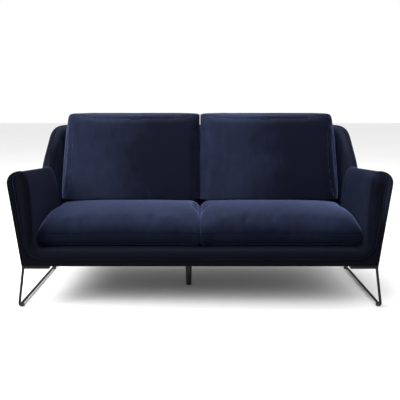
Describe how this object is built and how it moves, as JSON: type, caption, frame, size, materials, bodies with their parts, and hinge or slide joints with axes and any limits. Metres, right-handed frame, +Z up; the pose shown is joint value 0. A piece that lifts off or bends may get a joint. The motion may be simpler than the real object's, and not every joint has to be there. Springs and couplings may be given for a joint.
{
  "type": "two-seat sofa",
  "caption": "Two-seat tub sofa in dark velvet with loose seat and back cushions, slim padded arms rising into wings, steel-rod sled legs and a turned support leg.",
  "frame": {"origin": "on the floor, under the middle of the sofa's overall width and depth", "axes": "+X to the sitter's left side of the sofa as seen from the front (the viewer's right), -Y to the front, +Z up"},
  "size_m": [1.6996, 0.84, 0.8698],
  "materials": {
    "velvet_liner": "dark navy cotton velvet, short pile",
    "velvet_shell": "dark navy cotton velvet, stretched over the frame",
    "velvet_cushion": "dark navy cotton velvet, plump cushions",
    "black_steel": "black-bronze powder coat, satin",
    "zinc_steel": "zinc plated",
    "glide_plastic": "dark brown moulded nylon",
    "stained_leg": "turned hardwood, near-black stain",
    "frame_timber": "sawn hardwood",
    "bent_plywood": "bent plywood",
    "elastic_webbing": "woven elastic webbing",
    "foam": "polyurethane foam with fibre wrap",
    "zip_nylon": "nylon coil zip on tape",
    "dust_cloth": "black spunbonded dust cloth"
  },
  "bodies": {
    "root": {"leg_rod_left": "black_steel", "leg_rod_right": "black_steel", "leg_bars_left": "black_steel", "leg_bars_right": "black_steel", "centre_leg_plate": "black_steel", "leg_bolts": "zinc_steel", "threaded_inserts": "zinc_steel", "centre_leg_bolt": "zinc_steel", "dust_cover_staples": "zinc_steel", "glide_front_left": "glide_plastic", "glide_front_right": "glide_plastic", "glide_rear_left": "glide_plastic", "glide_rear_right": "glide_plastic", "centre_leg_glide": "glide_plastic", "centre_leg": "stained_leg", "seat_front_rail": "frame_timber", "seat_rear_rail": "frame_timber", "seat_side_rail_left": "frame_timber", "seat_side_rail_right": "frame_timber", "seat_stretcher": "frame_timber", "corner_blocks": "frame_timber", "arm_front_post_left": "frame_timber", "arm_front_post_right": "frame_timber", "arm_top_rail_left": "frame_timber", "arm_top_rail_right": "frame_timber", "wing_post_left": "frame_timber", "wing_post_right": "frame_timber", "back_top_rail": "frame_timber", "back_lower_rail": "frame_timber", "back_posts": "frame_timber", "corner_panel_left": "bent_plywood", "corner_panel_right": "bent_plywood", "seat_webbing": "elastic_webbing", "back_webbing": "elastic_webbing", "seat_deck_pad": "foam", "arm_pad_left": "velvet_liner", "arm_pad_right": "velvet_liner", "wing_pad_left": "velvet_liner", "wing_pad_right": "velvet_liner", "back_pad": "velvet_liner", "front_border_roll": "velvet_liner", "outer_arm_cover_left": "velvet_shell", "outer_arm_cover_right": "velvet_shell", "outer_back_cover": "velvet_shell", "shell_rim": "velvet_shell", "front_lower_panel": "velvet_shell", "dust_cover": "dust_cloth"},
    "seat_cushion_left": {"seat_cushion_foam_left": "foam", "seat_cushion_cover_left": "velvet_cushion", "seat_cushion_zip_left": "zip_nylon"},
    "seat_cushion_right": {"seat_cushion_foam_right": "foam", "seat_cushion_cover_right": "velvet_cushion", "seat_cushion_zip_right": "zip_nylon"},
    "back_cushion_left": {"back_cushion_foam_left": "foam", "back_cushion_cover_left": "velvet_cushion", "back_cushion_zip_left": "zip_nylon"},
    "back_cushion_right": {"back_cushion_foam_right": "foam", "back_cushion_cover_right": "velvet_cushion", "back_cushion_zip_right": "zip_nylon"}
  },
  "joints": [
    {"name": "seat_cushion_left_lift", "type": "slide", "parent": "root", "child": "seat_cushion_left", "axis": [0, -1, 0], "range_m": [0, 0.55]},
    {"name": "seat_cushion_right_lift", "type": "slide", "parent": "root", "child": "seat_cushion_right", "axis": [0, -1, 0], "range_m": [0, 0.55]},
    {"name": "back_cushion_left_lift", "type": "slide", "parent": "root", "child": "back_cushion_left", "axis": [0, 0.3362, 0.9418], "range_m": [0, 0.45]},
    {"name": "back_cushion_right_lift", "type": "slide", "parent": "root", "child": "back_cushion_right", "axis": [0, 0.3362, 0.9418], "range_m": [0, 0.45]}
  ]
}
